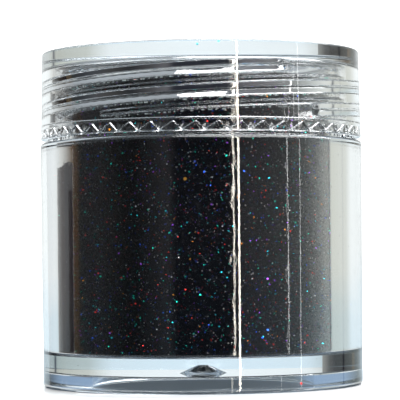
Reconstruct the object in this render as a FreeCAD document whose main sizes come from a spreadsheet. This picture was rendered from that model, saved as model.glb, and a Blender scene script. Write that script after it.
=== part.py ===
"""Clear screw-top cosmetic jar, filled with loose glitter.

Millimetres, +Z up. The origin is the centre of the ring that the jar stands on. The lid is modelled
screwed down. Turning it anticlockwise, seen from above, lifts it by thread_lead for each turn.
"""
import FreeCAD, Part
import os

import Sketcher
from FreeCAD import Placement, Rotation, Vector

DIMENSIONS = {
    # jar, outside
    "jar_base_radius": 14.87,
    "jar_shoulder_radius": 15.0,
    "jar_shoulder_height": 22.6,
    "jar_rim_height": 29.1,
    "jar_edge_round": 0.35,
    "neck_radius": 13.0,
    # jar, inside and underneath
    "bore_radius": 12.05,
    "bore_floor_height": 3.0,
    "bore_corner_round": 0.3,
    "rim_round": 0.25,
    "recess_radius": 10.4,
    "recess_depth": 1.4,
    "dimple_mouth_radius": 1.44,
    "dimple_end_radius": 0.35,
    "dimple_depth": 0.75,
    # lid
    "lid_bottom_height": 22.9,
    "lid_top_height": 30.9,
    "lid_bottom_radius": 14.95,
    "lid_top_radius": 14.8,
    "lid_edge_round": 0.15,
    "lid_plate_thickness": 1.45,
    "lid_inside_round": 0.25,
    "lid_bore_radius": 13.65,
    "lid_mouth_radius": 13.95,
    "lid_mouth_depth": 1.25,
    # ring of teeth inside the lid's bottom edge, where the mould holds the lid against turning
    "tooth_count": 45,
    "tooth_ring_radius": 14.35,
    "tooth_notch_radius": 14.3,
    "tooth_ring_inset": 0.2,
    "tooth_height": 0.75,
    "tooth_notch_width": 1.83,
    "tooth_long_side_share": 0.63,
    "tooth_turn": 1.4,
    # two-start right-hand thread
    "thread_lead": 4.14,
    "thread_starts": 2,
    "thread_root_sink": 0.1,
    "neck_thread_depth": 0.45,
    "neck_thread_root_width": 0.6,
    "neck_thread_crest_width": 0.25,
    "neck_thread_start_height": 24.7,
    "neck_thread_rise": 3.6,
    "neck_thread_start_angle": 227.0,
    "lid_thread_depth": 0.5,
    "lid_thread_root_width": 1.15,
    "lid_thread_crest_width": 0.2,
    "lid_thread_start_height": 24.9,
    "lid_thread_rise": 4.04,
    "lid_thread_start_angle": 133.4,
    # sealing disc, loose between the rim and the lid's plate
    "disc_radius": 13.2,
    "disc_thickness": 0.3,
    "disc_gap": 0.02,
    # glitter, as one closed solid
    "fill_wall_gap": 0.05,
    "fill_floor_gap": 0.02,
    "fill_headspace": 0.8,
}

SHEET = "Dimensions"

doc = FreeCAD.newDocument("glitter_jar")


def make_sheet():
    """Put every driving dimension in a spreadsheet cell whose alias is its name."""
    sheet = doc.addObject("Spreadsheet::Sheet", SHEET)
    for row, (alias, value) in enumerate(DIMENSIONS.items(), start=1):
        sheet.set(f"A{row}", alias)
        sheet.set(f"B{row}", str(value))
        sheet.setAlias(f"B{row}", alias)
    doc.recompute()
    return sheet


def cell(formula):
    """Turn a formula over alias names into an expression that refers to the sheet."""
    words = formula.split(" ")
    return " ".join(f"{SHEET}.{word}" if word in DIMENSIONS else word for word in words)


def number(formula):
    return sheet.evalExpression(cell(formula))


def bind(feature, **formulas):
    """Bind each named property of a feature to a formula over the sheet."""
    for name, formula in formulas.items():
        feature.setExpression(name, cell(formula))


def make_body(label):
    body = doc.addObject("PartDesign::Body", label)
    body.Label = label
    body.Placement = Placement()
    return body


def origin_feature(body, role):
    return next(item for item in body.Origin.OriginFeatures if item.Role == role)


def outline_sketch(body, name, corners, turn="0"):
    """Draw a closed outline on the body's XZ plane, turned about Z, with every corner bound to the sheet.

    Each corner is a pair of formulas, its distance from the axis and its height.
    """
    sketch = body.newObject("Sketcher::SketchObject", name)
    sketch.AttachmentSupport = [(origin_feature(body, "XZ_Plane"), "")]
    sketch.MapMode = "FlatFace"
    sketch.AttachmentOffset = Placement(Vector(), Rotation(Vector(0, 1, 0), number(turn)))
    points = [Vector(number(across), number(up), 0) for across, up in corners]
    for start, end in zip(points, points[1:] + points[:1]):
        sketch.addGeometry(Part.LineSegment(start, end), False)
    for index, (across, up) in enumerate(corners):
        following = (index + 1) % len(corners)
        sketch.addConstraint(Sketcher.Constraint("Coincident", index, 2, following, 1))
        place_corner(sketch, index, "X", across)
        place_corner(sketch, index, "Y", up)
    return sketch


def place_corner(sketch, index, direction, formula):
    """Hold the start point of line number index at a formula's distance from the sketch's origin."""
    value = number(formula)
    if value == 0:
        axis = -2 if direction == "X" else -1
        sketch.addConstraint(Sketcher.Constraint("PointOnObject", index, 1, axis))
        return
    constraint = Sketcher.Constraint(f"Distance{direction}", -1, 1, index, 1, value)
    row = sketch.addConstraint(constraint)
    name = f"corner_{index}_{direction}"
    sketch.renameConstraint(row, name)
    sketch.setExpression(f"Constraints.{name}", cell(formula))


def revolve(body, name, corners):
    sketch = outline_sketch(body, f"{name}_outline", corners)
    turned = body.newObject("PartDesign::Revolution", name)
    turned.Profile = sketch
    turned.ReferenceAxis = (sketch, ["V_Axis"])
    turned.Angle = 360
    sketch.Visibility = False
    doc.recompute()
    return turned


def ring_edges(shape, rings):
    """Name the circular edges that have one of the given (radius, height) pairs."""
    tolerance = 0.001
    names = []
    for index, edge in enumerate(shape.Edges, start=1):
        if edge.Curve.TypeId != "Part::GeomCircle":
            continue
        for radius, height in rings:
            near_radius = abs(edge.Curve.Radius - number(radius)) < tolerance
            near_height = abs(edge.Curve.Center.z - number(height)) < tolerance
            if near_radius and near_height:
                names.append(f"Edge{index}")
    return names


def round_rings(body, name, base, rings, radius):
    """Round the circular edges at the given (radius, height) pairs of a turned shape."""
    edges = ring_edges(base.Shape, rings)
    if len(edges) != len(rings):
        raise RuntimeError(f"{name}: found {len(edges)} of {len(rings)} edges")
    rounded = body.newObject("PartDesign::Fillet", name)
    rounded.Base = (base, edges)
    bind(rounded, Radius=radius)
    doc.recompute()
    return rounded


def repeat_round(body, name, feature, count):
    """Repeat a feature evenly about Z, and make the repeated shape the body's result."""
    pattern = body.newObject("PartDesign::PolarPattern", name)
    pattern.Originals = [feature]
    pattern.Axis = (origin_feature(body, "Z_Axis"), [""])
    pattern.Angle = 360
    bind(pattern, Occurrences=count)
    body.Tip = pattern
    doc.recompute()
    return pattern


def add_thread(body, part, root_radius, outwards):
    """Add a right-hand trapezoidal thread, standing on a wall of the given radius.

    part is neck or lid, the start of its own thread dimensions' names. outwards is + or -.
    """
    inwards = "-" if outwards == "+" else "+"
    middle = f"{part}_thread_start_height"
    foot = f"{root_radius} {inwards} thread_root_sink"
    crest = f"{root_radius} {outwards} {part}_thread_depth"
    root_half = f"{part}_thread_root_width / 2"
    crest_half = f"{part}_thread_crest_width / 2"
    corners = [
        (foot, f"{middle} - {root_half}"),
        (root_radius, f"{middle} - {root_half}"),
        (crest, f"{middle} - {crest_half}"),
        (crest, f"{middle} + {crest_half}"),
        (root_radius, f"{middle} + {root_half}"),
        (foot, f"{middle} + {root_half}"),
    ]
    sketch = outline_sketch(body, f"{part}_thread_outline", corners, f"{part}_thread_start_angle")
    ridge = body.newObject("PartDesign::AdditiveHelix", f"{part}_thread_ridge")
    ridge.Profile = sketch
    ridge.ReferenceAxis = (sketch, ["V_Axis"])
    ridge.Mode = "pitch-height-angle"
    ridge.LeftHanded = False
    bind(ridge, Pitch="thread_lead", Height=f"{part}_thread_rise")
    sketch.Visibility = False
    doc.recompute()
    return repeat_round(body, f"{part}_thread", ridge, "thread_starts")


def make_jar_body():
    """Thick-walled jar: foot ring and recess below, shoulder, threaded neck and plain bore."""
    body = make_body("jar_body")
    dimple_end = "recess_depth + dimple_depth"
    shell = revolve(body, "jar_shell", [
        ("0", dimple_end),
        ("dimple_end_radius", dimple_end),
        ("dimple_mouth_radius", "recess_depth"),
        ("recess_radius", "recess_depth"),
        ("recess_radius", "0"),
        ("jar_base_radius", "0"),
        ("jar_shoulder_radius", "jar_shoulder_height"),
        ("neck_radius", "jar_shoulder_height"),
        ("neck_radius", "jar_rim_height"),
        ("bore_radius", "jar_rim_height"),
        ("bore_radius", "bore_floor_height"),
        ("0", "bore_floor_height"),
    ])
    outer_edges = [("jar_base_radius", "0"), ("jar_shoulder_radius", "jar_shoulder_height")]
    rim_edges = [("neck_radius", "jar_rim_height"), ("bore_radius", "jar_rim_height")]
    rounded = round_rings(body, "outer_round", shell, outer_edges, "jar_edge_round")
    rounded = round_rings(body, "rim_round_off", rounded, rim_edges, "rim_round")
    corner = [("bore_radius", "bore_floor_height")]
    round_rings(body, "bore_corner", rounded, corner, "bore_corner_round")
    add_thread(body, "neck", "neck_radius", "+")
    return body


def make_screw_lid():
    """Lid: flat plate and skirt, threaded inside, with a wider toothed mouth."""
    body = make_body("screw_lid")
    plate_underside = "lid_top_height - lid_plate_thickness"
    mouth_top = "lid_bottom_height + lid_mouth_depth"
    tooth_tips = "lid_bottom_height + tooth_ring_inset"
    shell = revolve(body, "lid_shell", [
        ("0", "lid_top_height"),
        ("lid_top_radius", "lid_top_height"),
        ("lid_bottom_radius", "lid_bottom_height"),
        ("tooth_ring_radius", "lid_bottom_height"),
        ("tooth_ring_radius", tooth_tips),
        ("lid_mouth_radius", tooth_tips),
        ("lid_mouth_radius", mouth_top),
        ("lid_bore_radius", mouth_top),
        ("lid_bore_radius", plate_underside),
        ("0", plate_underside),
    ])
    top_edge = [("lid_top_radius", "lid_top_height")]
    inside_corner = [("lid_bore_radius", plate_underside)]
    rounded = round_rings(body, "top_round", shell, top_edge, "lid_edge_round")
    round_rings(body, "inside_round", rounded, inside_corner, "lid_inside_round")
    cut_teeth(body)
    add_thread(body, "lid", "lid_bore_radius", "-")
    return body


def cut_teeth(body):
    """Cut one notch from the axis out to tooth_notch_radius, on the +Y side, and repeat it.

    Seen from outside, each notch rises slowly to the right and falls steeply.
    """
    tips = "lid_bottom_height + tooth_ring_inset"
    half = "tooth_notch_width / 2"
    peak = f"{half} - tooth_long_side_share * tooth_notch_width"
    sketch = outline_sketch(body, "tooth_outline", [
        (half, "lid_bottom_height"),
        (half, tips),
        (peak, f"{tips} + tooth_height"),
        (f"0 - {half}", tips),
        (f"0 - {half}", "lid_bottom_height"),
    ], "tooth_turn")
    notch = body.newObject("PartDesign::Pocket", "tooth_notch")
    notch.Profile = sketch
    notch.Type = "Length"
    bind(notch, Length="tooth_notch_radius")
    sketch.Visibility = False
    before = body.Shape.Volume
    doc.recompute()
    if not notch.Shape.Volume < before:
        raise RuntimeError("the tooth notch cuts nothing")
    repeat_round(body, "tooth_ring", notch, "tooth_count")


def make_sealing_disc():
    disc = doc.addObject("Part::Cylinder", "sealing_disc")
    disc.Label = "sealing_disc"
    bind(disc, Radius="disc_radius", Height="disc_thickness")
    disc.Placement = Placement(Vector(0, 0, number("jar_rim_height + disc_gap")), Rotation())
    disc.setExpression("Placement.Base.z", cell("jar_rim_height + disc_gap"))
    return disc


def make_glitter_fill():
    """Glitter as one solid of the bore's shape, with a small headspace below the rim."""
    body = make_body("glitter_fill")
    bottom = "bore_floor_height + fill_floor_gap"
    top = "jar_rim_height - fill_headspace"
    radius = "bore_radius - fill_wall_gap"
    heap = revolve(body, "heap", [("0", bottom), (radius, bottom), (radius, top), ("0", top)])
    round_rings(body, "heap_corner", heap, [(radius, bottom)], "bore_corner_round")
    return body


def check_document():
    for item in doc.Objects:
        if "Invalid" in item.State or "Error" in item.State:
            raise RuntimeError(f"{item.Name} failed: {item.State}")


def export(part):
    shape = part.Shape
    if shape.isNull() or not shape.isValid() or len(shape.Solids) != 1:
        raise RuntimeError(f"{part.Label} is not one valid solid")
    shape.exportStep(f"parts/{part.Label}.step")
    box = shape.BoundBox
    print(f"{part.Label}: {shape.Volume:.1f} mm3, z {box.ZMin:.2f} to {box.ZMax:.2f}")


sheet = make_sheet()
PARTS = [make_jar_body(), make_glitter_fill(), make_sealing_disc(), make_screw_lid()]
doc.recompute()
check_document()
os.makedirs("parts", exist_ok=True)
for finished in PARTS:
    export(finished)
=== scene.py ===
"""Clear screw-top jar of loose dark glitter, on a pale floor in soft studio light.

Lengths in the shape code are millimetres, in the CAD frame; mesh points are written in metres.
"""

import math
import random

import bmesh
import bpy
from mathutils import Matrix, Vector, noise


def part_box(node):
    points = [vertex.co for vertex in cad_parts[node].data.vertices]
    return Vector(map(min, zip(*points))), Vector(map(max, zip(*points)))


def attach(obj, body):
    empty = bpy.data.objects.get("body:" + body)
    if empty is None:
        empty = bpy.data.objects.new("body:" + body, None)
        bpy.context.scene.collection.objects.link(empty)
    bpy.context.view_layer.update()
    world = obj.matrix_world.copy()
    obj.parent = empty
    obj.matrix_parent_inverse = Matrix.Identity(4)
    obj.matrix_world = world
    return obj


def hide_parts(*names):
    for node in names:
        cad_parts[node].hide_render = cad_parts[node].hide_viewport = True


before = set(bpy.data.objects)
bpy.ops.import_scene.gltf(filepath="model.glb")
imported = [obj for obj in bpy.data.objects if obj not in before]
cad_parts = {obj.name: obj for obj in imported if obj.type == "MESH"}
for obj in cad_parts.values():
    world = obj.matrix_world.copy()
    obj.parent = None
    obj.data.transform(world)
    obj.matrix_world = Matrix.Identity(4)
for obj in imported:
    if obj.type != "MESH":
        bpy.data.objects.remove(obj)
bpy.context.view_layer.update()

MM = 0.001

# ------------------------------------------------------------------ sizes read from the frame


def node_box(node):
    """Return a node's lowest and highest corners in millimetres."""
    low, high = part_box(node)
    return [value / MM for value in low], [value / MM for value in high]


_, jar_high = node_box("jar_body")
lid_low, lid_high = node_box("screw_lid")
disc_low, disc_high = node_box("sealing_disc")
fill_low, fill_high = node_box("glitter_fill")

SHOULDER_RADIUS = jar_high[0]
RIM_HEIGHT = jar_high[2]
LID_BOTTOM = lid_low[2]
LID_TOP = lid_high[2]
LID_RADIUS = lid_high[0]
FILL_RADIUS = fill_high[0]

# the rest of the jar's and the lid's sections, measured from those
BASE_RADIUS = SHOULDER_RADIUS - 0.13
SHOULDER_HEIGHT = LID_BOTTOM - 0.3
NECK_RADIUS = SHOULDER_RADIUS - 2.0
BORE_RADIUS = FILL_RADIUS + 0.05
BORE_FLOOR = fill_low[2] - 0.02
RECESS_RADIUS = 10.4
RECESS_DEPTH = 1.4
PLATE_UNDERSIDE = LID_TOP - 1.45
LID_TOP_RADIUS = LID_RADIUS - 0.15
LID_BORE_RADIUS = 13.65
MOUTH_RADIUS = 13.95
MOUTH_TOP = LID_BOTTOM + 1.25
TOOTH_RING_RADIUS = 14.35
NOTCH_RADIUS = 14.3
TOOTH_TIPS = LID_BOTTOM + 0.2
TOOTH_HEIGHT = 0.75
TOOTH_COUNT = 45
TOOTH_LONG_SIDE = 0.625
TOOTH_TURN = math.radians(-0.6)

THREAD_LEAD = 4.14
THREAD_STARTS = 2
# under and over are the axial lengths of a ridge's lower and upper flanks
NECK_THREAD = {
    "start": math.radians(227.0), "low": RIM_HEIGHT - 4.4, "rise": 3.6,
    "depth": 0.45, "crest": 0.25, "under": 0.175, "over": 0.175,
}
LID_THREAD = {
    "start": math.radians(133.4), "low": LID_BOTTOM + 2.0, "rise": 4.04,
    "depth": 0.5, "crest": 0.2, "under": 0.475, "over": 0.475,
}
THREAD_TAPER = math.radians(6.0)
THREAD_ROW = 0.052

# a foil flake's thickness, the reach of the shade round the foot, and how high that shade stands
FLAKE_THICKNESS = 0.006
SHADE_RADIUS = 15.4
SHADE_HEIGHT = 1.2

# ------------------------------------------------------------------ turned shapes


def smooth_step(value):
    value = min(max(value, 0.0), 1.0)
    return value * value * (3.0 - 2.0 * value)


def ridge_height(thread, angle, height):
    """Height of a two-start right-hand thread ridge above its wall, at an angle and a height."""
    tallest = 0.0
    lowest = -(thread["crest"] + thread["under"] + thread["over"]) / 2.0
    whole = thread["rise"] / THREAD_LEAD * math.tau
    for start in range(THREAD_STARTS):
        first = thread["start"] + start * math.tau / THREAD_STARTS
        turned = (angle - first) % math.tau
        if turned > whole:
            continue
        middle = thread["low"] + THREAD_LEAD * turned / math.tau
        climb = (height - middle - lowest) / thread["under"]
        fall = (-lowest - height + middle) / thread["over"]
        across = min(max(min(climb, fall), 0.0), 1.0)
        end = min(turned, whole - turned) / THREAD_TAPER
        tallest = max(tallest, thread["depth"] * across * smooth_step(end))
    return tallest


def corner_arc(before, corner, after, radius, steps=4):
    """Round one corner of a section with an arc, each end held by a point on its straight side."""
    here = Vector(corner)
    back = (Vector(before) - here).normalized()
    ahead = (Vector(after) - here).normalized()
    half = back.angle(ahead) / 2.0
    reach = radius / math.tan(half)
    centre = here + (back + ahead).normalized() * radius / math.sin(half)
    first = here + back * reach - centre
    sweep = math.pi - 2.0 * half
    side = 1.0 if back.cross(ahead) < 0 else -1.0
    hold = min(0.08, radius)
    points = [here + back * (reach + hold)]
    for step in range(steps + 1):
        turn = side * sweep * step / steps
        swung = Matrix.Rotation(turn, 2) @ first
        points.append(centre + swung)
    points.append(here + ahead * (reach + hold))
    return [tuple(point) for point in points]


def section(corners):
    """Turn (radius, height, rounding) corners into the points of a turned shape's section."""
    points = []
    last = len(corners) - 1
    for index, (radius, height, rounding) in enumerate(corners):
        if rounding and 0 < index < last:
            before, after = corners[index - 1][:2], corners[index + 1][:2]
            points += corner_arc(before, (radius, height), after, rounding)
        else:
            points.append((radius, height))
    return points


def rows_between(low, high, spacing):
    """Heights evenly spaced from low to high, both included."""
    count = max(1, round(abs(high - low) / spacing))
    return [low + (high - low) * index / count for index in range(count + 1)]


def turned_piece(name, points, columns, shape=None):
    """Make a closed turned mesh from section points that run from the axis back to the axis.

    shape(index, angle, radius, height) may move a point as the section goes round.
    """
    mesh = bmesh.new()
    rings = []
    for index, (radius, height) in enumerate(points):
        if radius < 1e-6:
            rings.append([mesh.verts.new((0.0, 0.0, height * MM))])
            continue
        ring = []
        for column in range(columns):
            angle = math.tau * column / columns
            r, z = shape(index, angle, radius, height) if shape else (radius, height)
            spot = (r * math.cos(angle) * MM, r * math.sin(angle) * MM, z * MM)
            ring.append(mesh.verts.new(spot))
        rings.append(ring)
    for lower, upper in zip(rings, rings[1:]):
        for column in range(columns):
            following = (column + 1) % columns
            quad = [lower[column % len(lower)], lower[following % len(lower)],
                    upper[following % len(upper)], upper[column % len(upper)]]
            mesh.faces.new(list(dict.fromkeys(quad)))
    if mesh.calc_volume(signed=True) < 0:
        bmesh.ops.reverse_faces(mesh, faces=mesh.faces)
    return finish_mesh(name, mesh)


def finish_mesh(name, mesh, smooth=True):
    """Turn a bmesh into an object of the scene."""
    data = bpy.data.meshes.new(name)
    mesh.to_mesh(data)
    mesh.free()
    if smooth:
        data.shade_smooth()
    piece = bpy.data.objects.new(name, data)
    bpy.context.scene.collection.objects.link(piece)
    return piece


# ------------------------------------------------------------------ materials


def new_material(name):
    material = bpy.data.materials.new(name)
    material.use_nodes = True
    tree = material.node_tree
    return material, tree, tree.nodes["Principled BSDF"]


def add_node(tree, kind, inputs=None, **settings):
    """Add a shader node, set its properties, and set or link its inputs."""
    node = tree.nodes.new(kind)
    for name, value in settings.items():
        setattr(node, name, value)
    for name, value in (inputs or {}).items():
        if isinstance(value, bpy.types.NodeSocket):
            tree.links.new(value, node.inputs[name])
        else:
            node.inputs[name].default_value = value
    return node


def fill_ramp(node, stops, interpolation="LINEAR"):
    """Give a colour ramp node its (position, colour) stops."""
    ramp = node.color_ramp
    ramp.interpolation = interpolation
    while len(ramp.elements) < len(stops):
        ramp.elements.new(1.0)
    for element, (position, colour) in zip(ramp.elements, stops):
        element.position = position
        element.color = (*colour, 1.0)


def clear_plastic(name, ripple, haze):
    """Clear polystyrene: faint blue in depth, moulding ripple, fine rub marks."""
    material, tree, shader = new_material(name)
    shader.inputs["Base Color"].default_value = (1.0, 1.0, 1.0, 1.0)
    shader.inputs["IOR"].default_value = 1.59
    shader.inputs["Transmission Weight"].default_value = 1.0
    place = add_node(tree, "ShaderNodeTexCoord").outputs["Object"]
    swell = add_node(tree, "ShaderNodeTexNoise", {"Vector": place, "Scale": 260.0, "Detail": 2.0})
    rubs = add_node(tree, "ShaderNodeTexNoise", {"Vector": place, "Scale": 5200.0, "Detail": 3.0})
    rough = add_node(tree, "ShaderNodeMapRange", {
        "Value": rubs.outputs["Fac"], "From Min": 0.55, "From Max": 0.8,
        "To Min": 0.0, "To Max": haze,
    })
    tree.links.new(rough.outputs["Result"], shader.inputs["Roughness"])
    bump = add_node(tree, "ShaderNodeBump", {
        "Height": swell.outputs["Fac"], "Strength": 1.0, "Distance": ripple,
    })
    tree.links.new(bump.outputs["Normal"], shader.inputs["Normal"])
    depth = add_node(tree, "ShaderNodeVolumeAbsorption", {
        "Color": (0.64, 0.84, 0.96, 1.0), "Density": 9.0,
    })
    tree.links.new(depth.outputs["Volume"], tree.nodes["Material Output"].inputs["Volume"])
    return material


# shares of the common flakes' tints, and of the bright ones'
GLITTER_TINTS = [
    (0.00, (0.030, 0.030, 0.034)),
    (0.52, (0.10, 0.10, 0.12)),
    (0.66, (0.03, 0.20, 0.17)),
    (0.73, (0.04, 0.10, 0.45)),
    (0.79, (0.35, 0.04, 0.05)),
    (0.84, (0.22, 0.07, 0.42)),
    (0.89, (0.02, 0.45, 0.42)),
    (0.93, (0.75, 0.77, 0.80)),
    (0.975, (0.60, 0.22, 0.04)),
]
BRIGHT_TINTS = [
    (0.00, (0.02, 0.75, 0.55)),
    (0.24, (0.85, 0.06, 0.05)),
    (0.46, (0.05, 0.18, 0.95)),
    (0.62, (0.03, 0.70, 0.80)),
    (0.78, (0.45, 0.12, 0.85)),
    (0.91, (0.90, 0.90, 0.92)),
    (0.94, (0.90, 0.38, 0.05)),
]


def heap_material():
    """Packed dark flakes: each cell of a cell pattern is one flake, tilted and tinted by chance."""
    material, tree, shader = new_material("packed_glitter")
    place = add_node(tree, "ShaderNodeTexCoord").outputs["Object"]
    flakes = add_node(tree, "ShaderNodeTexVoronoi", {"Vector": place, "Scale": 7000.0})
    chance = add_node(tree, "ShaderNodeSeparateColor", {"Color": flakes.outputs["Color"]})
    tints = add_node(tree, "ShaderNodeValToRGB", {"Fac": chance.outputs["Red"]})
    fill_ramp(tints, [
        (0.0, (0.002, 0.002, 0.0025)),
        (0.6, (0.007, 0.007, 0.008)),
        (0.86, (0.005, 0.020, 0.022)),
        (0.91, (0.006, 0.010, 0.04)),
        (0.95, (0.035, 0.006, 0.008)),
        (0.975, (0.03, 0.032, 0.035)),
    ], "CONSTANT")
    tree.links.new(tints.outputs["Color"], shader.inputs["Base Color"])
    shader.inputs["Metallic"].default_value = 0.7
    shader.inputs["Specular IOR Level"].default_value = 0.15
    shader.inputs["Roughness"].default_value = 0.38
    shader.inputs["Coat Weight"].default_value = 0.75
    shader.inputs["Coat IOR"].default_value = 1.75
    shader.inputs["Coat Roughness"].default_value = 0.03
    centred = add_node(tree, "ShaderNodeVectorMath", {
        0: flakes.outputs["Color"], 1: (0.5, 0.5, 0.5),
    }, operation="SUBTRACT")
    tilt = add_node(tree, "ShaderNodeVectorMath", {
        0: centred.outputs["Vector"], "Scale": 0.9,
    }, operation="SCALE")
    facing = add_node(tree, "ShaderNodeNewGeometry").outputs["Normal"]
    tilted = add_node(tree, "ShaderNodeVectorMath", {0: facing, 1: tilt.outputs["Vector"]},
                      operation="ADD")
    unit = add_node(tree, "ShaderNodeVectorMath", {0: tilted.outputs["Vector"]},
                    operation="NORMALIZE")
    tree.links.new(unit.outputs["Vector"], shader.inputs["Normal"])
    return material


def flake_material(stops, name):
    """Single foil flakes, each with its own tint."""
    material, tree, shader = new_material(name)
    chance = add_node(tree, "ShaderNodeNewGeometry").outputs["Random Per Island"]
    tints = add_node(tree, "ShaderNodeValToRGB", {"Fac": chance})
    fill_ramp(tints, stops, "CONSTANT")
    tree.links.new(tints.outputs["Color"], shader.inputs["Base Color"])
    shader.inputs["Metallic"].default_value = 1.0
    shader.inputs["Roughness"].default_value = 0.22
    return material


def finish_piece(piece, material, body, slot, *nodes):
    """Give a piece its material and the body that it rides on, and hide the nodes it replaces; slot
    is not used.
    """
    piece.data.materials.clear()
    piece.data.materials.append(material)
    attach(piece, body)
    if nodes:
        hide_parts(*nodes)


# ------------------------------------------------------------------ the pieces


def make_jar():
    """The jar's section turned round, with the thread ridges raised on its neck."""
    columns = 480
    dimple = [(0.0, RECESS_DEPTH + 0.75), (0.28, RECESS_DEPTH + 0.745), (0.40, RECESS_DEPTH + 0.69),
              (0.72, RECESS_DEPTH + 0.47), (1.05, RECESS_DEPTH + 0.24), (1.44, RECESS_DEPTH)]
    below = section([
        (1.5, RECESS_DEPTH, 0),
        (RECESS_RADIUS, RECESS_DEPTH, 0.12),
        (RECESS_RADIUS, 0.0, 0.15),
        (BASE_RADIUS, 0.0, 0.35),
        (SHOULDER_RADIUS, SHOULDER_HEIGHT, 0.35),
        (NECK_RADIUS, SHOULDER_HEIGHT, 0.12),
        (NECK_RADIUS, RIM_HEIGHT, 0),
    ])[:-1]
    wall_low = NECK_THREAD["low"] - 0.55
    wall_high = NECK_THREAD["low"] + NECK_THREAD["rise"] + 0.5
    wall = [(NECK_RADIUS, height) for height in rows_between(wall_low, wall_high, THREAD_ROW)]
    above = section([
        (NECK_RADIUS, wall_high, 0),
        (NECK_RADIUS, RIM_HEIGHT, 0.25),
        (BORE_RADIUS, RIM_HEIGHT, 0.25),
        (BORE_RADIUS, BORE_FLOOR, 0.3),
        (0.0, BORE_FLOOR, 0),
    ])[1:]
    before = dimple + below
    threaded = range(len(before), len(before) + len(wall))

    def shape(index, angle, radius, height):
        if index in threaded:
            radius += ridge_height(NECK_THREAD, angle, height)
        return radius, height

    piece = turned_piece("jar_clear", before + wall + above, columns, shape)
    plastic = clear_plastic("jar_polystyrene", 0.000004, 0.10)
    finish_piece(piece, plastic, "jar", "clear_jar", "jar_body")


def notch_top(angle):
    """Height of the toothed ring's lower edge: each notch rises slowly and falls steeply."""
    share = ((angle - TOOTH_TURN) * TOOTH_COUNT / math.tau) % 1.0
    if share < TOOTH_LONG_SIDE:
        climb = share / TOOTH_LONG_SIDE
    else:
        climb = (1.0 - share) / (1.0 - TOOTH_LONG_SIDE)
    return TOOTH_TIPS + TOOTH_HEIGHT * climb


def make_lid():
    """The lid's section turned round, with notches in its mouth and thread ridges inside."""
    columns = TOOTH_COUNT * 16
    outside = section([
        (0.0, LID_TOP, 0),
        (LID_TOP_RADIUS, LID_TOP, 0.15),
        (LID_RADIUS, LID_BOTTOM, 0.12),
        (TOOTH_RING_RADIUS, LID_BOTTOM, 0),
    ])
    step = [(TOOTH_RING_RADIUS, TOOTH_TIPS)]
    # rings across a notch's ceiling, and how far each lies below it, to keep its edges crisp
    rings = [(NOTCH_RADIUS + 0.004, 0.10), (NOTCH_RADIUS, 0.03), (NOTCH_RADIUS - 0.03, 0.0),
             (NOTCH_RADIUS - 0.10, 0.0), (MOUTH_RADIUS + 0.06, 0.0), (MOUTH_RADIUS + 0.01, 0.0),
             (MOUTH_RADIUS, -0.06)]
    notches = [(radius, TOOTH_TIPS) for radius, _ in rings]
    mouth = section([
        (MOUTH_RADIUS, MOUTH_TOP - 0.3, 0),
        (MOUTH_RADIUS, MOUTH_TOP, 0.06),
        (LID_BORE_RADIUS, MOUTH_TOP, 0.06),
        (LID_BORE_RADIUS, PLATE_UNDERSIDE, 0),
    ])[:-1]
    wall_low = MOUTH_TOP + 0.2
    wall_high = PLATE_UNDERSIDE - 0.34
    wall = [(LID_BORE_RADIUS, height) for height in rows_between(wall_low, wall_high, THREAD_ROW)]
    ceiling = section([
        (LID_BORE_RADIUS, wall_high, 0),
        (LID_BORE_RADIUS, PLATE_UNDERSIDE, 0.25),
        (0.0, PLATE_UNDERSIDE, 0),
    ])[1:]
    before = outside + step
    toothed = range(len(before), len(before) + len(notches))
    start = len(before) + len(notches) + len(mouth)

    def shape(index, angle, radius, height):
        if index in toothed:
            height = notch_top(angle)
            below = rings[index - toothed[0]][1]
            height -= below * min(1.0, 2.0 * (height - TOOTH_TIPS) / TOOTH_HEIGHT)
        if index >= start:
            radius = min(radius, LID_BORE_RADIUS - ridge_height(LID_THREAD, angle, height))
        return radius, height

    piece = turned_piece("lid_clear", before + notches + mouth + wall + ceiling, columns, shape)
    plastic = clear_plastic("lid_polystyrene", 0.000004, 0.08)
    finish_piece(piece, plastic, "lid", "clear_lid", "screw_lid")


def make_seal():
    """The thin clear disc between the rim and the lid's plate."""
    points = section([
        (0.0, disc_low[2], 0),
        (disc_high[0], disc_low[2], 0.05),
        (disc_high[0], disc_high[2], 0.05),
        (0.0, disc_high[2], 0),
    ])
    piece = turned_piece("seal_clear", points, 256)
    plastic = clear_plastic("seal_film", 0.00002, 0.25)
    finish_piece(piece, plastic, "seal", "clear_seal", "sealing_disc")


def make_heap():
    """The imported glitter: the bore's shape below, a gently uneven top."""
    sides = section([
        (0.0, fill_low[2], 0),
        (FILL_RADIUS, fill_low[2], 0.28),
        (FILL_RADIUS, fill_high[2], 0),
    ])[:-1]
    top = fill_high[2]
    wall = [(FILL_RADIUS, height) for height in rows_between(fill_low[2] + 1.0, top, 0.5)]
    crown = [(radius, top) for radius in (11.9, 11.6, 11.0, 10.0, 8.5, 6.5, 4.0, 2.0, 0.0)]
    first_crown = len(sides) + len(wall)

    def shape(index, angle, radius, height):
        spot = Vector((radius * math.cos(angle), radius * math.sin(angle), height))
        if index >= first_crown - 1:
            height -= 0.25 + 0.35 * noise.noise(spot * 0.35) + 0.08 * noise.noise(spot * 1.6)
        grain = 0.02 + 0.02 * noise.noise(spot * 2.2)
        return radius - grain, height

    piece = turned_piece("glitter_heap", sides + wall + crown, 360, shape)
    finish_piece(piece, heap_material(), "jar", "dark_glitter", "glitter_fill")
    return piece


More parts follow.
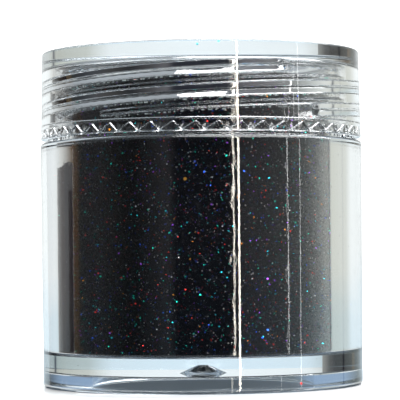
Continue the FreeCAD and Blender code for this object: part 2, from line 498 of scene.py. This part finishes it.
def add_flake(mesh, middle, facing, size, turn):
    """Add one six-sided foil flake as a thin closed prism."""
    across = facing.orthogonal().normalized()
    along = facing.cross(across)
    rims = []
    for side in (-0.5, 0.5):
        lift = facing * FLAKE_THICKNESS * side
        rim = []
        for corner in range(6):
            angle = turn + corner * math.tau / 6.0
            offset = across * math.cos(angle) + along * math.sin(angle)
            rim.append(mesh.verts.new((middle + offset * size / 2.0 + lift) * MM))
        rims.append(rim)
    lower, upper = rims
    mesh.faces.new(lower[::-1])
    mesh.faces.new(upper)
    for corner in range(6):
        following = (corner + 1) % 6
        mesh.faces.new([lower[corner], lower[following], upper[following], upper[corner]])


def jittered(chance, facing, tilt):
    """Tip a direction by a random angle of about tilt radians."""
    return (facing + Vector([chance.gauss(0.0, tilt) for _ in range(3)])).normalized()


def plain_foil(name, colour, metallic=1.0):
    """Foil or dust of one colour, a little uneven from flake to flake."""
    material, tree, shader = new_material(name)
    chance = add_node(tree, "ShaderNodeNewGeometry").outputs["Random Per Island"]
    shade = add_node(tree, "ShaderNodeMapRange", {"Value": chance, "To Min": 0.6, "To Max": 1.0})
    tint = add_node(tree, "ShaderNodeVectorMath", {0: colour, "Scale": shade.outputs["Result"]},
                    operation="SCALE")
    tree.links.new(tint.outputs["Vector"], shader.inputs["Base Color"])
    shader.inputs["Metallic"].default_value = metallic
    shader.inputs["Roughness"].default_value = 0.3
    return material


def on_cylinder(angle, radius, height):
    """Return a point on a cylinder, and the direction that faces out of it there."""
    out = Vector((math.cos(angle), math.sin(angle), 0.0))
    return out * radius + Vector((0.0, 0.0, height)), out


def make_wall_flakes(name, seed, count, sizes, tilt, material):
    """Flakes of the heap that lie against the bore."""
    chance = random.Random(seed)
    mesh = bmesh.new()
    for _ in range(count):
        height = chance.uniform(fill_low[2] + 0.4, fill_high[2] - 0.35)
        middle, out = on_cylinder(chance.uniform(0.0, math.tau), FILL_RADIUS + 0.012, height)
        facing = jittered(chance, out, tilt)
        add_flake(mesh, middle, facing, chance.uniform(*sizes), chance.uniform(0.0, math.tau))
    piece = finish_mesh(name, mesh, smooth=False)
    finish_piece(piece, material, "jar", "dark_glitter")


def make_all_wall_flakes():
    """The heap's side in four layers: common flakes, flat pale ones, large tilted and fine ones."""
    common = flake_material(GLITTER_TINTS, "foil_flakes")
    make_wall_flakes("wall_flakes", 11, 6500, (0.07, 0.16), 0.10, common)
    flat = plain_foil("pale_foil", (0.55, 0.53, 0.50))
    make_wall_flakes("flat_flakes", 12, 2600, (0.06, 0.13), 0.025, flat)
    bright = flake_material(BRIGHT_TINTS, "bright_flakes")
    make_wall_flakes("tilted_flakes", 13, 1100, (0.10, 0.19), 0.40, bright)
    fine = flake_material(BRIGHT_TINTS, "fine_flakes")
    make_wall_flakes("fine_flakes", 14, 5200, (0.05, 0.10), 0.55, fine)


def make_thread_dust():
    """Pale glitter caught along the threads, in rows that the turning lid has drawn it into."""
    chance = random.Random(5)
    rows = [
        ("neck_dust", "jar", NECK_THREAD, NECK_RADIUS + 0.012, -0.42),
        ("lid_dust", "lid", LID_THREAD, LID_BORE_RADIUS - 0.012, -0.72),
    ]
    pale = plain_foil("pale_dust", (0.80, 0.88, 0.88), 0.0)
    for name, body, thread, radius, offset in rows:
        mesh = bmesh.new()
        for start in range(THREAD_STARTS):
            turned = 0.1
            while turned < thread["rise"] / THREAD_LEAD * math.tau - 0.1:
                turned += chance.uniform(0.03, 0.075)
                angle = thread["start"] + start * math.pi + turned
                height = thread["low"] + THREAD_LEAD * turned / math.tau + offset
                height += chance.gauss(0.0, 0.015)
                for step in range(chance.choice((1, 2, 3))):
                    spot, out = on_cylinder(angle + step * 0.009, radius, height)
                    add_flake(mesh, spot, out, chance.uniform(0.09, 0.15), chance.uniform(0.0, 1.0))
        piece = finish_mesh(name, mesh, smooth=False)
        finish_piece(piece, pale, body, "dark_glitter")


def make_specks():
    """Dark specks of glitter stuck to the outside of the clear walls."""
    chance = random.Random(3)
    mesh = bmesh.new()
    for _ in range(420):
        height = chance.uniform(2.0, SHOULDER_HEIGHT - 0.6)
        share = height / SHOULDER_HEIGHT
        radius = BASE_RADIUS + (SHOULDER_RADIUS - BASE_RADIUS) * share + 0.006
        middle, out = on_cylinder(chance.uniform(0.0, math.tau), radius, height)
        add_flake(mesh, middle, out, chance.uniform(0.04, 0.09), chance.uniform(0.0, 1.0))
    piece = finish_mesh("specks", mesh, smooth=False)
    finish_piece(piece, plain_foil("dark_speck", (0.05, 0.05, 0.06), 0.3), "jar", "dark_glitter")


CYAN = (0.15, 0.75, 0.85)
# single bright flakes: name, body, degrees right of the front, radius, height, size, colour
STRAYS = [
    ("cyan_flake_left", "lid", -0.9, LID_TOP_RADIUS + 0.006, LID_TOP - 0.45, 0.24, CYAN),
    ("cyan_flake_right", "lid", 6.3, LID_TOP_RADIUS + 0.006, LID_TOP - 0.22, 0.24, CYAN),
    ("orange_flake", "lid", -32.4, LID_RADIUS + 0.004, LID_BOTTOM + 0.30, 0.20, (0.85, 0.30, 0.02)),
    ("amber_flake", "jar", -6.3, FILL_RADIUS + 0.02, 18.8, 0.30, (0.90, 0.42, 0.04)),
    ("blue_flake", "jar", -2.4, FILL_RADIUS + 0.02, 20.3, 0.20, (0.10, 0.18, 0.85)),
    ("red_flake", "jar", 35.3, BASE_RADIUS + 0.006, 0.75, 0.24, (0.85, 0.05, 0.04)),
]


def make_strays():
    """The single flakes of the STRAYS list, each a piece of its own."""
    for name, body, right, radius, height, size, colour in STRAYS:
        mesh = bmesh.new()
        middle, out = on_cylinder(math.radians(right - 90.0), radius, height)
        add_flake(mesh, middle, out, size, 0.4)
        piece = finish_mesh(name, mesh, smooth=False)
        finish_piece(piece, plain_foil(name, colour, 0.2), body, "dark_glitter")


# ------------------------------------------------------------------ camera, floor and light

CAMERA_DISTANCE = 0.200
EYE_HEIGHT = 0.0123
LENS = 192.3
PITCH_UP = math.radians(1.414)
YAW_LEFT = math.radians(0.04)
ROLL = math.radians(-0.57)


def make_camera():
    """A long lens, low in front of the jar, turned up a little and rolled half a degree."""
    data = bpy.data.cameras.new("camera")
    data.lens = LENS
    data.sensor_width = 36.0
    data.clip_start = 0.01
    camera = bpy.data.objects.new("camera", data)
    bpy.context.scene.collection.objects.link(camera)
    place = Matrix.Translation((0.0, -CAMERA_DISTANCE, EYE_HEIGHT))
    turn = Matrix.Rotation(YAW_LEFT, 4, "Z") @ Matrix.Rotation(math.pi / 2 + PITCH_UP, 4, "X")
    camera.matrix_world = place @ turn @ Matrix.Rotation(ROLL, 4, "Z")
    bpy.context.scene.camera = camera


def make_disc(name, radius, height, material):
    """A flat stage disc about the axis, with its radius and height in metres."""
    mesh = bmesh.new()
    bmesh.ops.create_circle(mesh, cap_ends=True, segments=128, radius=radius)
    bmesh.ops.translate(mesh, vec=(0.0, 0.0, height), verts=mesh.verts)
    disc = finish_mesh(name, mesh, smooth=False)
    disc.data.materials.append(material)
    return disc


def seen_through_foot_only(piece):
    """Show a stage piece only to light that has passed through the clear plastic."""
    piece.visible_camera = False
    piece.visible_glossy = False
    piece.visible_diffuse = False
    piece.visible_shadow = False


def make_collar():
    """The shade close round the back of the foot: grey behind it, blue at both sides."""
    mesh = bmesh.new()
    steps = 80
    columns = []
    for step in range(steps + 1):
        angle = math.radians(-30.0 + 240.0 * step / steps)
        x, y = SHADE_RADIUS * MM * math.cos(angle), SHADE_RADIUS * MM * math.sin(angle)
        columns.append([mesh.verts.new((x, y, height * MM)) for height in (0.0, SHADE_HEIGHT)])
    for before, after in zip(columns, columns[1:]):
        mesh.faces.new([before[0], after[0], after[1], before[1]])
    collar = finish_mesh("shade_behind_foot", mesh, smooth=False)
    material, tree, shader = new_material("shade_behind_foot")
    shader.inputs["Base Color"].default_value = (0.0, 0.0, 0.0, 1.0)
    shader.inputs["Specular IOR Level"].default_value = 0.0
    place = add_node(tree, "ShaderNodeTexCoord").outputs["Object"]
    parts = add_node(tree, "ShaderNodeSeparateXYZ", {"Vector": place})
    back = add_node(tree, "ShaderNodeMapRange", {
        "Value": parts.outputs["Y"], "From Min": 0.003, "From Max": 0.009,
    })
    tints = add_node(tree, "ShaderNodeValToRGB", {"Fac": back.outputs["Result"]})
    fill_ramp(tints, [(0.0, (0.28, 0.40, 0.57)), (1.0, (0.125, 0.160, 0.185))])
    tree.links.new(tints.outputs["Color"], shader.inputs["Emission Color"])
    shader.inputs["Emission Strength"].default_value = 1.0
    collar.data.materials.append(material)
    return collar


def make_floor():
    """A wide pale floor for the camera, and the shaded floor that shows through the foot."""
    material, tree, shader = new_material("pale_floor")
    shader.inputs["Base Color"].default_value = (0.92, 0.93, 0.94, 1.0)
    shader.inputs["Roughness"].default_value = 0.6
    shader.inputs["Coat Roughness"].default_value = 0.08
    place = add_node(tree, "ShaderNodeTexCoord").outputs["Object"]
    reach = add_node(tree, "ShaderNodeVectorMath", {0: place}, operation="LENGTH")
    gloss = add_node(tree, "ShaderNodeMapRange", {
        "Value": reach.outputs["Value"], "From Min": 0.018, "From Max": 0.034,
        "To Min": 0.9, "To Max": 0.0,
    })
    tree.links.new(gloss.outputs["Result"], shader.inputs["Coat Weight"])
    floor = make_disc("floor", 6.0, 0.0, material)
    floor.visible_glossy = False
    floor.visible_transmission = False
    shade, tree, shader = new_material("shaded_floor")
    shader.inputs["Base Color"].default_value = (0.10, 0.15, 0.23, 1.0)
    shader.inputs["Roughness"].default_value = 0.8
    shader.inputs["Specular IOR Level"].default_value = 0.0
    shader.inputs["Emission Color"].default_value = (0.092, 0.112, 0.126, 1.0)
    shader.inputs["Emission Strength"].default_value = 1.0
    make_disc("floor_under_foot", BASE_RADIUS * MM, -0.00001, shade)
    seen_through_foot_only(make_disc("floor_in_shade", SHADE_RADIUS * MM, 0.00001, shade))
    seen_through_foot_only(make_collar())


# surroundings at low elevation, by azimuth in degrees from the camera's side, rightwards
SURROUNDINGS = [
    (-180.0, (1.02, 1.07, 1.08)),
    (-150.0, (0.96, 1.00, 1.00)),
    (-140.0, (0.70, 0.72, 0.70)),
    (-121.0, (0.10, 0.06, 0.03)),
    (-114.5, (0.10, 0.06, 0.03)),
    (-113.0, (0.03, 0.035, 0.035)),
    (-102.0, (0.04, 0.04, 0.045)),
    (-88.0, (0.07, 0.07, 0.075)),
    (-72.0, (0.05, 0.05, 0.05)),
    (-55.0, (0.02, 0.022, 0.025)),
    (-38.0, (0.06, 0.06, 0.065)),
    (-26.0, (0.11, 0.11, 0.12)),
    (-20.0, (0.02, 0.022, 0.03)),
    (20.0, (0.02, 0.022, 0.03)),
    (33.0, (0.12, 0.12, 0.13)),
    (50.0, (0.16, 0.16, 0.17)),
    (70.0, (0.22, 0.23, 0.23)),
    (90.0, (0.44, 0.47, 0.46)),
    (110.0, (0.75, 0.78, 0.75)),
    (117.5, (0.66, 0.68, 0.63)),
    (119.5, (0.06, 0.07, 0.10)),
    (121.5, (0.62, 0.64, 0.58)),
    (145.0, (0.66, 0.68, 0.63)),
    (155.0, (0.96, 1.00, 1.00)),
    (180.0, (1.02, 1.07, 1.08)),
]


def make_world():
    """White to the camera. To the object: bright behind and above, dark on the camera's side."""
    world = bpy.data.worlds.new("studio")
    world.use_nodes = True
    bpy.context.scene.world = world
    tree = world.node_tree
    background = tree.nodes["Background"]
    output = tree.nodes["World Output"]
    way = add_node(tree, "ShaderNodeTexCoord").outputs["Generated"]
    parts = add_node(tree, "ShaderNodeSeparateXYZ", {"Vector": way})
    backwards = add_node(tree, "ShaderNodeMath", {0: parts.outputs["Y"], 1: -1.0},
                         operation="MULTIPLY")
    azimuth = add_node(tree, "ShaderNodeMath", {0: parts.outputs["X"], 1: backwards.outputs[0]},
                       operation="ARCTAN2")
    share = add_node(tree, "ShaderNodeMapRange", {
        "Value": azimuth.outputs[0], "From Min": -math.pi, "From Max": math.pi,
    })
    around = add_node(tree, "ShaderNodeValToRGB", {"Fac": share.outputs["Result"]})
    fill_ramp(around, [((degrees + 180.0) / 360.0, colour) for degrees, colour in SURROUNDINGS])
    level = add_node(tree, "ShaderNodeMapRange", {
        "Value": parts.outputs["Z"], "From Min": -0.10, "From Max": 0.0,
    })
    tint = add_node(tree, "ShaderNodeValToRGB", {"Fac": level.outputs["Result"]})
    fill_ramp(tint, [
        (0.10, (1.0, 1.0, 1.0)),
        (0.35, (0.80, 0.90, 0.97)),
        (0.80, (0.80, 0.90, 0.97)),
        (1.0, (1.0, 1.0, 1.0)),
    ])
    tinted = add_node(tree, "ShaderNodeMix", {
        "Factor": 1.0, 6: around.outputs["Color"], 7: tint.outputs["Color"],
    }, data_type="RGBA", blend_type="MULTIPLY")
    slope = add_node(tree, "ShaderNodeMath", {0: parts.outputs["Z"]}, operation="ABSOLUTE")
    away = add_node(tree, "ShaderNodeMapRange", {
        "Value": slope.outputs[0], "From Min": 0.16, "From Max": 0.34,
    }, interpolation_type="SMOOTHSTEP")
    height = add_node(tree, "ShaderNodeMapRange", {
        "Value": parts.outputs["Z"], "From Min": -0.05, "From Max": 0.05,
    })
    steep = add_node(tree, "ShaderNodeValToRGB", {"Fac": height.outputs["Result"]})
    fill_ramp(steep, [(0.0, (0.55, 0.61, 0.66)), (1.0, (0.40, 0.45, 0.48))])
    sky = add_node(tree, "ShaderNodeMix", {
        "Factor": away.outputs["Result"], 6: tinted.outputs[2], 7: steep.outputs["Color"],
    }, data_type="RGBA")
    tree.links.new(sky.outputs[2], background.inputs["Color"])
    plain = add_node(tree, "ShaderNodeBackground", {"Color": (1.0, 1.0, 1.0, 1.0), "Strength": 1.6})
    path = add_node(tree, "ShaderNodeLightPath")
    direct = add_node(tree, "ShaderNodeMath", {
        0: path.outputs["Is Camera Ray"], 1: path.outputs["Is Diffuse Ray"],
    }, operation="MAXIMUM")
    mix = add_node(tree, "ShaderNodeMixShader", {0: direct.outputs[0]})
    tree.links.new(background.outputs[0], mix.inputs[1])
    tree.links.new(plain.outputs[0], mix.inputs[2])
    tree.links.new(mix.outputs[0], output.inputs["Surface"])


def add_strip(name, azimuth, width, height, lift, power, colour):
    """A narrow upright strip light, seen only in reflections and through the plastic."""
    distance = 0.5
    data = bpy.data.lights.new(name, "AREA")
    data.shape = "RECTANGLE"
    data.size = 2.0 * distance * math.tan(math.radians(width) / 2.0)
    data.size_y = height
    data.energy = power
    data.color = colour
    strip = bpy.data.objects.new(name, data)
    bpy.context.scene.collection.objects.link(strip)
    angle = math.radians(azimuth)
    spot = Vector((math.sin(angle) * distance, -math.cos(angle) * distance, lift))
    aim = (spot - Vector((0.0, 0.0, lift))).to_track_quat("Z", "Y")
    strip.matrix_world = Matrix.Translation(spot) @ aim.to_matrix().to_4x4()
    strip.visible_camera = False


def add_softbox():
    """The main light: a soft panel high up on the camera's side."""
    data = bpy.data.lights.new("softbox", "AREA")
    data.shape = "RECTANGLE"
    data.size = 0.95
    data.size_y = 0.60
    data.energy = 9.5
    panel = bpy.data.objects.new("softbox", data)
    bpy.context.scene.collection.objects.link(panel)
    spot = Vector((0.21, -0.09, 0.45))
    aim = spot.to_track_quat("Z", "Y")
    panel.matrix_world = Matrix.Translation(spot) @ aim.to_matrix().to_4x4()
    panel.visible_camera = False


def add_dark_card(name, distance, first, last, low, high):
    """A dark card with one lighter edge, which the clear walls mirror as dark stripes."""
    mesh = bmesh.new()
    for azimuth in (first, last):
        angle = math.radians(azimuth)
        for level in (low, high):
            mesh.verts.new((math.sin(angle) * distance, -math.cos(angle) * distance, level))
    mesh.verts.ensure_lookup_table()
    mesh.faces.new([mesh.verts[index] for index in (0, 1, 3, 2)])
    card = finish_mesh(name, mesh, smooth=False)
    material, tree, shader = new_material(name)
    shader.inputs["Base Color"].default_value = (0.006, 0.004, 0.005, 1.0)
    shader.inputs["Roughness"].default_value = 0.8
    shader.inputs["Specular IOR Level"].default_value = 0.0
    place = add_node(tree, "ShaderNodeTexCoord").outputs["Generated"]
    parts = add_node(tree, "ShaderNodeSeparateXYZ", {"Vector": place})
    glow = add_node(tree, "ShaderNodeValToRGB", {"Fac": parts.outputs["X"]})
    fill_ramp(glow, [
        (0.65, (0.0, 0.0, 0.0)),
        (0.83, (0.08, 0.08, 0.075)),
        (1.0, (0.30, 0.30, 0.28)),
    ])
    tree.links.new(glow.outputs["Color"], shader.inputs["Emission Color"])
    shader.inputs["Emission Strength"].default_value = 1.0
    card.data.materials.append(material)
    card.visible_camera = False
    card.visible_shadow = False
    card.visible_diffuse = False


def make_lights():
    add_softbox()
    add_strip("strip_main", 25.6, 1.5, 0.9, 0.05, 0.85, (1.0, 0.93, 0.82))
    add_strip("strip_side", 72.3, 0.9, 0.9, 0.05, 0.10, (1.0, 1.0, 1.0))
    add_dark_card("far_card", 0.600, -143.5, -119.5, -0.060, 0.0515)


make_camera()
make_floor()
make_world()
make_lights()
make_jar()
make_lid()
make_seal()
make_heap()
make_all_wall_flakes()
make_thread_dust()
make_specks()
make_strays()

scene = bpy.context.scene
scene.view_settings.view_transform = "Standard"
scene.cycles.max_bounces = 32
scene.cycles.transmission_bounces = 32
scene.cycles.glossy_bounces = 12
scene.cycles.sample_clamp_indirect = 6.0
